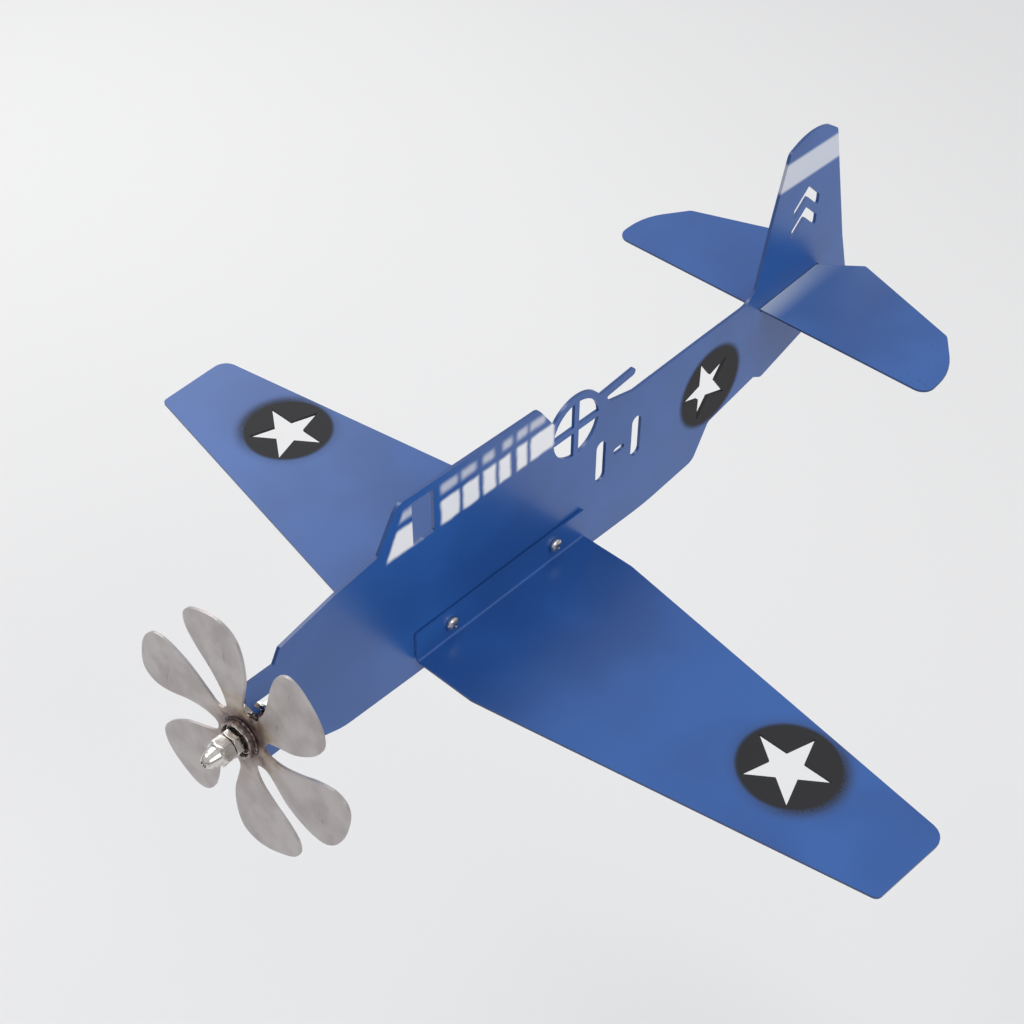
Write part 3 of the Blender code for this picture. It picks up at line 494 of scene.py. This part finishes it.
# ---- nose boss ----------------------------------------------------------------------
# A short turned mild-steel bush in the open fork of the nose, where it carries the
# tilted axle.  Four short beads, two on each face of the sheet, weld it to the prongs.
NOSE_BEAD = 0.65 * MM
BEAD_ROOM = 0.1 * MM
BESIDE_SHEET = 1.15 * MM       # half the sheet and the reach of a bead

axle_joint = next(joint for joint in frame["joints"] if joint["name"] == "propeller_spin")
forward = Vector(axle_joint["axis"]).normalized()
to_port = (Vector((0, 1, 0)) - forward * forward.y).normalized()
axle = Matrix((to_port, forward.cross(to_port), forward)).transposed().to_4x4()
axle.translation = Vector(axle_joint["pos_m"])

# Bare mild steel, turned and then left: grey with thin brown stains where hands touched
# it.  The tool's rings are too fine to show, so they are drawn as soft 0.6 mm grain.
steel, tree, shader, place = new_material("turned_mild_steel", 0.34, 1.0)
stains = add(tree, "TexNoise", {"Vector": place, "Scale": 1 / 5, "Detail": 5.0})
stains = add(tree, "MapRange", [stains, 0.45, 0.72], **SOFT)
base = add(tree, "MixRGB", [stains, linear("#B4AFAC"), linear("#A29A92")])
tree.links.new(base.outputs[0], shader.inputs["Base Color"])
rings = add(tree, "TexNoise", {"Vector": place, "Scale": 1 / 0.6, "Detail": 3.0})
rings = add(tree, "MapRange", [rings, 0.3, 0.7, 0.26, 0.42], **SOFT)
tree.links.new(rings.outputs[0], shader.inputs["Roughness"])

# Weld metal as it cooled: rippled, dark brown to violet with oxide, and rough enough
# that it only glints on its crests.
weld_metal, tree, shader, place, oxide, base = patchy_metal(
    "burnt_weld_metal", 0.85, 1.8, 4.0, ("#4A3B3A", "#8C7F7A"), (0.42, 0.66), (0.3, 0.7, 0.5, 0.32))
violet = add(tree, "MapRange", [oxide, 0.36, 0.46, 0.5, 0.0], **SOFT)
base = add(tree, "MixRGB", [violet, base, linear("#5A4F6B")])
tree.links.new(base.outputs[0], shader.inputs["Base Color"])

lumps = bpy.data.textures.new("weld_lumps", "CLOUDS")
lumps.noise_scale = 1.3 * MM
lumps.noise_depth = 1


def fillet_welds(name, spots, length, bead):
    """Short lumpy beads of filler on the airframe, one with its middle at each spot."""
    runs = []
    for spot in spots:
        bpy.ops.object.select_all(action="DESELECT")
        bpy.ops.mesh.primitive_uv_sphere_add(segments=16, ring_count=36, radius=1)
        run = bpy.context.active_object
        for vertex in run.data.vertices:
            x, y, z = vertex.co
            # blunter ends than a ball's, so that the bead keeps its girth along its length
            girth = bead * math.sqrt((1 - z ** 8) / (1 - z * z)) if abs(z) < 0.9999 else 0.0
            vertex.co = (x * girth, y * girth, z * length / 2)
        run.data.transform(spot)
        runs.append(run)
    alone(runs[0])
    for run in runs[1:]:
        run.select_set(True)
    bpy.ops.object.join()
    runs[0].name = name
    modify(runs[0], "DISPLACE", texture=lumps, strength=1.1 * bead, mid_level=0.5)
    return hand_over(runs[0], weld_metal, "airframe", "bare_steel")


boss = flat_ring("nose_bush", "nose_boss", axle, 0.25 * MM)
hand_over(boss, steel, "airframe", "bare_steel", "nose_boss")
boss_rear, boss_front, _, boss_rim = reach("nose_boss", axle)
beside = boss_rim + BEAD_ROOM
fillet_welds("nose_fillet_welds",
             [axle @ Matrix.Translation((side * BESIDE_SHEET, end * beside, (boss_rear + boss_front) / 2))
              for side in (1, -1) for end in (1, -1)], 0.95 * (boss_front - boss_rear), NOSE_BEAD)

# ---- axle -------------------------------------------------------------------------
# An M6 stud through the boss: large washer and nut behind, spacer, bearing and nut in
# front, and a domed cap nut as the spinner.  All of it is nickel-plated steel.
AXLE_PITCH = 1.0 * MM
AXLE_THREAD_DEPTH = 0.45 * MM


def threaded(low, high, radius, pitch, depth):
    """The outer side of a threaded rod from high to low, with its turns cut as rings,
    because the slope of a real thread is too small to see."""
    turns = int((high - low - pitch) / pitch)
    side = [(radius - depth, high), (radius, high - depth)]
    for turn in range(turns):
        crest = high - depth - turn * pitch
        side += [(radius, crest - 0.25 * pitch), (radius - depth, crest - 0.6 * pitch),
                 (radius, crest - 0.95 * pitch)]
    return side + [(radius, low + depth), (radius - depth, low)]


low, high, _, radius = reach("axle_stud", axle)
stud = turned("axle_rod", [(0, high)] + threaded(low, high, radius, AXLE_PITCH, AXLE_THREAD_DEPTH)
              + [(0, low)], 48)
stud.data.transform(axle)
hand_over(stud, nickel, "airframe", "bright_steel", "axle_stud")

for node, name in (("axle_back_nut", "axle_lock_nut"), ("axle_front_nut", "bearing_nut")):
    hand_over(hexagon_nut(name, node, axle), nickel, "airframe", "bright_steel", node)
for node, name in (("axle_back_washer", "axle_washer"), ("axle_spacer", "axle_distance_ring")):
    hand_over(flat_ring(name, node, axle, 0.12 * MM), nickel, "airframe", "bright_steel", node)

# Cap nut: hexagon foot, waist cone, dome, and the centre-drill mark left in its tip.
CAP_FOOT_HEIGHT = 5.3 * MM
CAP_BORE = 3.3 * MM
CAP_BORE_DEPTH = 8.6 * MM
DOME_RADIUS = 3.1 * MM
WAIST_RADIUS = 4.0 * MM
WAIST_STEP = 0.5 * MM
DRILL_MARK = 1.3 * MM
DRILL_DEPTH = 2.6 * MM
DRILL_CONE = 0.3 * MM

low, high, _, corner = reach("acorn_nut", axle)
foot = low + CAP_FOOT_HEIGHT
dome_foot = high - DOME_RADIUS
seat = 0.95 * HALF_FLATS * corner
drop = (corner - seat) * CHAMFER_SLOPE
mark_angle = math.acos(DRILL_MARK / DOME_RADIUS)
profile = [(0, high - DRILL_DEPTH), (0.85 * DRILL_MARK, high - DRILL_DEPTH + DRILL_CONE)]
for share in range(9, -1, -1):
    angle = mark_angle * share / 9
    profile.append((DOME_RADIUS * math.cos(angle), dome_foot + DOME_RADIUS * math.sin(angle)))
profile += [(DOME_RADIUS + 0.3 * MM, dome_foot - WAIST_STEP), (WAIST_RADIUS, foot + WAIST_STEP),
            (seat, foot), (corner, foot - drop), (corner, low + drop), (seat, low),
            (CAP_BORE, low), (CAP_BORE, low + CAP_BORE_DEPTH), (0, low + CAP_BORE_DEPTH + 1.0 * MM)]
cap = rounded(six_sided(turned("cap_nut", profile), seat, corner), 0.1 * MM)
cap.data.transform(axle)

# The same plating, with painted shade darkening the drill mark in its tip.
cap_plating, tree, shader, place, _, base = plated("nickel_plate_with_shaded_drill_mark")
tip = [value / MM for value in axle @ Vector((0, 0, high))]
near_tip = add(tree, "VectorMath", [place, tip], operation="DISTANCE").outputs["Value"]
drill_mark_shade = add(tree, "MapRange", [near_tip, 1.25, 1.6, 1.0, 0.0], **SOFT)
base = add(tree, "MixRGB", [drill_mark_shade, base, linear("#241F20")])
tree.links.new(base.outputs[0], shader.inputs["Base Color"])
hand_over(cap, cap_plating, "airframe", "bright_steel", "acorn_nut")

# ---- ball bearing -------------------------------------------------------------------
# A shielded 6 x 13 x 5 mm bearing.  Its ground rings are chrome steel, the pressed
# shields are darker and sit a little below the rings, and the cage is brass.
SHIELD_LEDGE = 0.35 * MM
SHIELD_LEDGE_DEPTH = 0.8 * MM

# Pressed steel under old grease: dark brown-grey with a dull, streaked shine.
shield_steel = patchy_metal("pressed_dark_steel", 0.9, 2.5, 3.0, ("#3A3436", "#5C5254"), (0.35, 0.7),
                            (0.3, 0.7, 0.3, 0.5))[0]
# Turned brass: yellow-brown, dulled by oil in patches about 3 mm across.
brass = patchy_metal("oiled_brass", 1.0, 3.0, 3.0, ("#C9A45A", "#8E6C38"), (0.4, 0.7),
                     (0.3, 0.7, 0.24, 0.42))[0]

hand_over(flat_ring("race_inner", "bearing_inner_ring", axle, 0.2 * MM), nickel, "airframe",
          "bright_steel", "bearing_inner_ring")
race_low, race_high, race_bore, race_rim = reach("bearing_outer_ring", axle)
ledge = race_bore + SHIELD_LEDGE
outer_race = turned("race_outer", [
    (race_rim, race_high), (race_rim, race_low), (ledge, race_low), (ledge, race_low + SHIELD_LEDGE_DEPTH),
    (race_bore, race_low + SHIELD_LEDGE_DEPTH), (race_bore, race_high - SHIELD_LEDGE_DEPTH),
    (ledge, race_high - SHIELD_LEDGE_DEPTH), (ledge, race_high)])
rounded(outer_race, 0.12 * MM)
outer_race.data.transform(axle)
hand_over(outer_race, nickel, "propeller", "bright_steel", "bearing_outer_ring")
for end in ("front", "rear"):
    shield = flat_ring(f"race_shield_{end}", f"bearing_shield_{end}", axle, 0.08 * MM)
    hand_over(shield, shield_steel, "propeller", "dark_steel", f"bearing_shield_{end}")
frame["nodes"]["bearing_ball_cage"].data.materials[0] = brass

# ---- hub housing ----------------------------------------------------------------------
# A turned steel cup that holds the bearing.  Heat from welding the blades has stained
# its outer side brown, with violet where it was hottest.
CUP_BORE = 6.8 * MM
CUP_LIP_THICK = 0.6 * MM

housing_steel, tree, shader, place, stain, base = patchy_metal(
    "heat_stained_steel", 1.0, 4.0, 4.0, ("#A79F9B", "#7B6A5F"), (0.38, 0.62), (0.3, 0.7, 0.22, 0.4))
violet = add(tree, "MapRange", [stain, 0.6, 0.75, 0.0, 0.5], **SOFT)
base = add(tree, "MixRGB", [violet, base, linear("#5B4B5E")])
tree.links.new(base.outputs[0], shader.inputs["Base Color"])

low, high, lip, rim = reach("hub_housing", axle)
housing = turned("bearing_cup", [(rim, high), (rim, low), (lip, low), (lip, low + CUP_LIP_THICK),
                                 (CUP_BORE, low + CUP_LIP_THICK), (CUP_BORE, high)], 96)
rounded(housing, 0.3 * MM)
housing.data.transform(axle)
hand_over(housing, housing_steel, "propeller", "bare_steel", "hub_housing")

# ---- propeller ----------------------------------------------------------------------
# Six petals cut as one flower from 1.2 mm stainless sheet, tumbled matt, each turned
# three degrees about its own length, and welded round the bearing cup.
BLADE_COUNT = 6
BLADE_PHASE = math.radians(-12.3)
BLADE_PITCH = math.radians(3.0)
TWIST_START = 14.0 * MM
TWIST_RAMP = 16.0 * MM
GRID = 2.5 * MM                # spacing of the cuts that let the sheet bend
GRID_SHIFT = 0.37              # keeps the cuts off the flower's own corners


def twist(x, y, blend):
    """How far a petal's twist lowers a point of the flower."""
    sector = math.tau / BLADE_COUNT
    out = math.hypot(x, y)
    off_axis = (math.atan2(y, x) - BLADE_PHASE + sector / 2) % sector - sector / 2
    ramp = min(max((out - TWIST_START) / TWIST_RAMP, 0), 1)
    return out * math.sin(off_axis) * math.tan(BLADE_PITCH) * blend(ramp)


# The CAD's twist is taken out, the flat flower is cut into a grid, and the twist is put
# back with a gentle start and end.
petals = copied("propeller_blades", "propeller_petals")
petals.data.transform(axle.inverted())
for vertex in petals.data.vertices:
    vertex.co.z += twist(vertex.co.x, vertex.co.y, lambda ramp: ramp)
merged(petals, 1.0)
flower_reach = max(abs(value) for vertex in petals.data.vertices for value in vertex.co[:2])
cuts = int(flower_reach / GRID)
bpy.ops.object.mode_set(mode="EDIT")
for direction in ((1, 0, 0), (0, 1, 0)):
    for cut in range(-cuts, cuts + 1):
        bpy.ops.mesh.select_all(action="SELECT")
        bpy.ops.mesh.bisect(plane_co=Vector(direction) * (cut + GRID_SHIFT) * GRID, plane_no=direction)
bpy.ops.object.mode_set(mode="OBJECT")
for vertex in petals.data.vertices:
    vertex.co.z -= twist(vertex.co.x, vertex.co.y, lambda ramp: ramp * ramp * (3 - 2 * ramp))
rounded(petals, 0.3 * MM, 50)
petals.data.transform(axle)

# Tumbled stainless steel: warm matt grey with cloudy marks 12 mm across, a few fine scuffs
# and a dimpled skin.
petal_steel, tree, shader, place, clouds, base = patchy_metal(
    "tumbled_stainless_steel", 1.0, 12.0, 4.0, ("#BDB7B6", "#B2ABAA"), (0.38, 0.66), (0.3, 0.7, 0.36, 0.48))
streaks = add(tree, "Mapping", {"Vector": place, "Rotation": (0.3, 0.5, 0.2), "Scale": (1.0, 1.0, 0.12)})
scuffs = add(tree, "TexNoise", {"Vector": streaks, "Scale": 1 / 1.6, "Detail": 2.0})
scuffs = add(tree, "MapRange", [scuffs, 0.66, 0.74], **SOFT)
for share in (add(tree, "MapRange", [clouds, 0.5, 0.62], **SOFT), 0.55):
    scuffs = add(tree, "Math", [scuffs, share], operation="MULTIPLY")
base = add(tree, "MixRGB", [scuffs, base, linear("#7C7373")])
tumble = add(tree, "TexNoise", {"Vector": place, "Scale": 1 / 0.7, "Detail": 2.0})
dimple = add(tree, "Bump", {"Strength": 0.3, "Distance": 0.02 * MM, "Height": tumble})
tree.links.new(dimple.outputs[0], shader.inputs["Normal"])

# Welding heat leaves straw, brown, violet and burnt rings, stronger on one side of the
# hub.  Each is a colour, the radii it is full and gone at, and its strength.
HEAT_RINGS = (("#A08C6A", 14.0, 26.0, 0.6), ("#77604F", 11.0, 20.0, 0.75),
              ("#5C4A58", 9.5, 15.0, 0.7), ("#35292A", 8.5, 11.5, 0.85))
HEAT_WANDER = 4.0
HOT_SIDE = (0.0, 0.55, 0.83)
hub = [value / MM for value in axle.translation]
away = add(tree, "VectorMath", [place, hub], operation="DISTANCE").outputs["Value"]
warp = add(tree, "TexNoise", {"Vector": place, "Scale": 1 / 7, "Detail": 3.0})
warp = add(tree, "MapRange", [warp, 0.25, 0.75, -HEAT_WANDER, HEAT_WANDER], **SOFT)
heat = add(tree, "Math", [away, warp], operation="ADD")
aside = add(tree, "VectorMath", [place, hub], operation="SUBTRACT")
towards = add(tree, "VectorMath", [aside, HOT_SIDE], operation="DOT_PRODUCT").outputs["Value"]
hot = add(tree, "MapRange", [towards, -4.0, 14.0, 0.35, 1.0], **SOFT)
for colour, full, gone, strength in HEAT_RINGS:
    ring = add(tree, "MapRange", [heat, full, gone, strength, 0.0], **SOFT)
    ring = add(tree, "Math", [ring, hot], operation="MULTIPLY")
    base = add(tree, "MixRGB", [ring, base, linear(colour)])
tree.links.new(base.outputs[0], shader.inputs["Base Color"])
hand_over(petals, petal_steel, "propeller", "blade_steel", "propeller_blades")

# ---- hub weld -----------------------------------------------------------------------
# One lap of filler between the petals and the bearing cup, laid by hand from the front.
# It is the same burnt metal as the nose welds, and turns with the propeller.
WELD_RADIUS = 8.25 * MM
WELD_BEAD = 0.55 * MM
WELD_HEIGHT = 0.3 * MM

bpy.ops.object.select_all(action="DESELECT")
bpy.ops.mesh.primitive_torus_add(major_radius=WELD_RADIUS, minor_radius=WELD_BEAD, major_segments=120,
                                 minor_segments=12)
lap = bpy.context.active_object
lap.name = "hub_weld"
modify(lap, "DISPLACE", texture=lumps, strength=1.1 * WELD_BEAD, mid_level=0.5)
lap.data.transform(axle @ Matrix.Translation((0, 0, WELD_HEIGHT)))
hand_over(lap, weld_metal, "propeller", "bare_steel")

# ---- swivel tube ------------------------------------------------------------------------
# A bored steel tube slotted over the belly and welded there.  It holds two brass
# bushes, a thrust plug and ball, and a grub screw that keeps it on the spindle.
TUBE_SADDLE = 7.3 * MM         # how far the slotted tube stands up past the belly
BELLY_BEAD = 0.8 * MM

swivel = Matrix.Identity(4)    # it stands upright on the origin
tube = rounded_copy("pivot_tube", "swivel_tube", 0.25 * MM, 40)
hand_over(tube, steel, "airframe", "bare_steel", "pivot_tube")
tube_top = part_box("pivot_tube")[1].z
tube_rim = reach("pivot_tube", swivel)[3]
fillet_welds("belly_fillet_welds",
             [Matrix.Translation((end * tube_rim, side * BESIDE_SHEET, tube_top - TUBE_SADDLE / 2))
              for side in (1, -1) for end in (1, -1)], TUBE_SADDLE, BELLY_BEAD)
for node, name, edge, material, slot in (
        ("upper_bush", "bush_upper", 0.2, brass, "brass_bush"),
        ("thrust_plug", "thrust_pad", 0.2, nickel, "bright_steel"),
        ("lower_bush", "bush_lower", 0.25, brass, "brass_bush"),
        ("grub_screw", "retaining_screw", 0.08, shield_steel, "dark_steel")):
    hand_over(rounded_copy(node, name, edge * MM, 50), material, "airframe", slot, node)
frame["nodes"]["pivot_ball"].data.materials[0] = nickel

# ---- spindle ------------------------------------------------------------------------------
# A turned 8 mm steel spindle with a cup for the ball, a groove for the grub screw, a
# shoulder that sits on the mast bracket, and a washer and nut on its threaded end.
SPINDLE_RADIUS = 4.0 * MM
SPINDLE_PITCH = 1.25 * MM
SPINDLE_THREAD_DEPTH = 0.5 * MM
SPINDLE_CHAMFER = 0.4 * MM
SHOULDER_LOW, SHOULDER_HIGH = 11.6 * MM, 14.1 * MM
GROOVE_RADIUS = 3.0 * MM
GROOVE_LOW, GROOVE_HIGH = 26.8 * MM, 31.2 * MM
CUP_RADIUS = 3.3 * MM

low, high, _, shoulder = reach("pivot_spindle", swivel)
cup_centre = high + 0.55 * CUP_RADIUS
profile = [(CUP_RADIUS * math.cos(math.radians(angle)),
            cup_centre + CUP_RADIUS * math.sin(math.radians(angle)))
           for angle in (-90, -81, -72, -63, -54, -45, -33.4)]
profile += [(SPINDLE_RADIUS - SPINDLE_CHAMFER, high), (SPINDLE_RADIUS, high - SPINDLE_CHAMFER),
            (SPINDLE_RADIUS, GROOVE_HIGH), (GROOVE_RADIUS, GROOVE_HIGH),
            (GROOVE_RADIUS, GROOVE_LOW), (SPINDLE_RADIUS, GROOVE_LOW),
            (SPINDLE_RADIUS, SHOULDER_HIGH), (shoulder - SPINDLE_CHAMFER, SHOULDER_HIGH),
            (shoulder, SHOULDER_HIGH - SPINDLE_CHAMFER), (shoulder, SHOULDER_LOW)]
profile += threaded(low, SHOULDER_LOW, SPINDLE_RADIUS, SPINDLE_PITCH, SPINDLE_THREAD_DEPTH) + [(0, low)]
hand_over(turned("mast_pivot", profile), nickel, "mast_spindle", "bright_steel", "pivot_spindle")
hand_over(flat_ring("bracket_washer", "mast_washer", swivel, 0.15 * MM), nickel, "mast_spindle",
          "bright_steel", "mast_washer")
hand_over(hexagon_nut("bracket_nut", "mast_lock_nut", swivel), nickel, "mast_spindle",
          "bright_steel", "mast_lock_nut")

# ---- studio --------------------------------------------------------------------------------
# A plain pale floor well below the object, a soft grey room, and broad soft lights: one
# high on the starboard quarter, one over the nose, and a weak one from the port side.
FLOOR_DROP = 0.30
FLOOR_SIZE = 60
ROOM_BRIGHTNESS = 0.88
bpy.ops.mesh.primitive_plane_add(size=FLOOR_SIZE, location=(0, 0, -FLOOR_DROP))
floor = bpy.context.active_object
floor.name = "studio_floor"
floor_paint, tree, shader, place = new_material("matt_pale_floor", 0.9, 0.0)
shader.inputs["Base Color"].default_value = linear("#E8E7E6")
shader.inputs["Specular IOR Level"].default_value = 0.1
floor.data.materials.append(floor_paint)
floor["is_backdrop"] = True

# The room is greyer low down, so that bright metal has something darker to mirror.
world = bpy.data.worlds.new("soft_room")
bpy.context.scene.world = world
world.use_nodes = True
tree = world.node_tree
room = tree.nodes["Background"]
sight = add(tree, "TexCoord").outputs["Generated"]
elevation = add(tree, "SeparateXYZ", [sight]).outputs["Z"]
height = add(tree, "MapRange", [elevation, 0.1, 0.4], **SOFT)
walls = add(tree, "MixRGB", [height, linear("#B0AEAC"), linear("#E9EBEE")])
tree.links.new(walls.outputs[0], room.inputs["Color"])
room.inputs["Strength"].default_value = ROOM_BRIGHTNESS

aim = Vector((0.0, 0.0, 0.07))
for name, spot, size, power in (("quarter_light", (-0.45, -1.35, 0.85), 1.1, 5.5),
                                ("nose_light", (0.2, -0.95, 1.55), 0.6, 6.0),
                                ("port_light", (0.2, 1.6, 1.2), 0.9, 9.5)):
    lamp = bpy.data.lights.new(name, "AREA")
    lamp.size = size
    lamp.energy = power
    holder = bpy.data.objects.new(name, lamp)
    bpy.context.scene.collection.objects.link(holder)
    holder.location = spot
    holder.rotation_euler = (aim - Vector(spot)).to_track_quat("-Z", "Y").to_euler()

camera = bpy.data.cameras.new("studio_camera")
camera.lens = 60.74
camera.sensor_width = 36.0
camera.clip_start = 0.01
camera.clip_end = 50.0
viewpoint = bpy.data.objects.new("studio_camera", camera)
bpy.context.scene.collection.objects.link(viewpoint)
viewpoint.location = (0.36205, 0.34428, 0.58192)
viewpoint.rotation_euler = [math.radians(turn) for turn in (46.725, -0.241, 133.081)]
bpy.context.scene.camera = viewpoint
bpy.context.scene.view_settings.view_transform = "Standard"

# ---- size ---------------------------------------------------------------------------------
low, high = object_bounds()
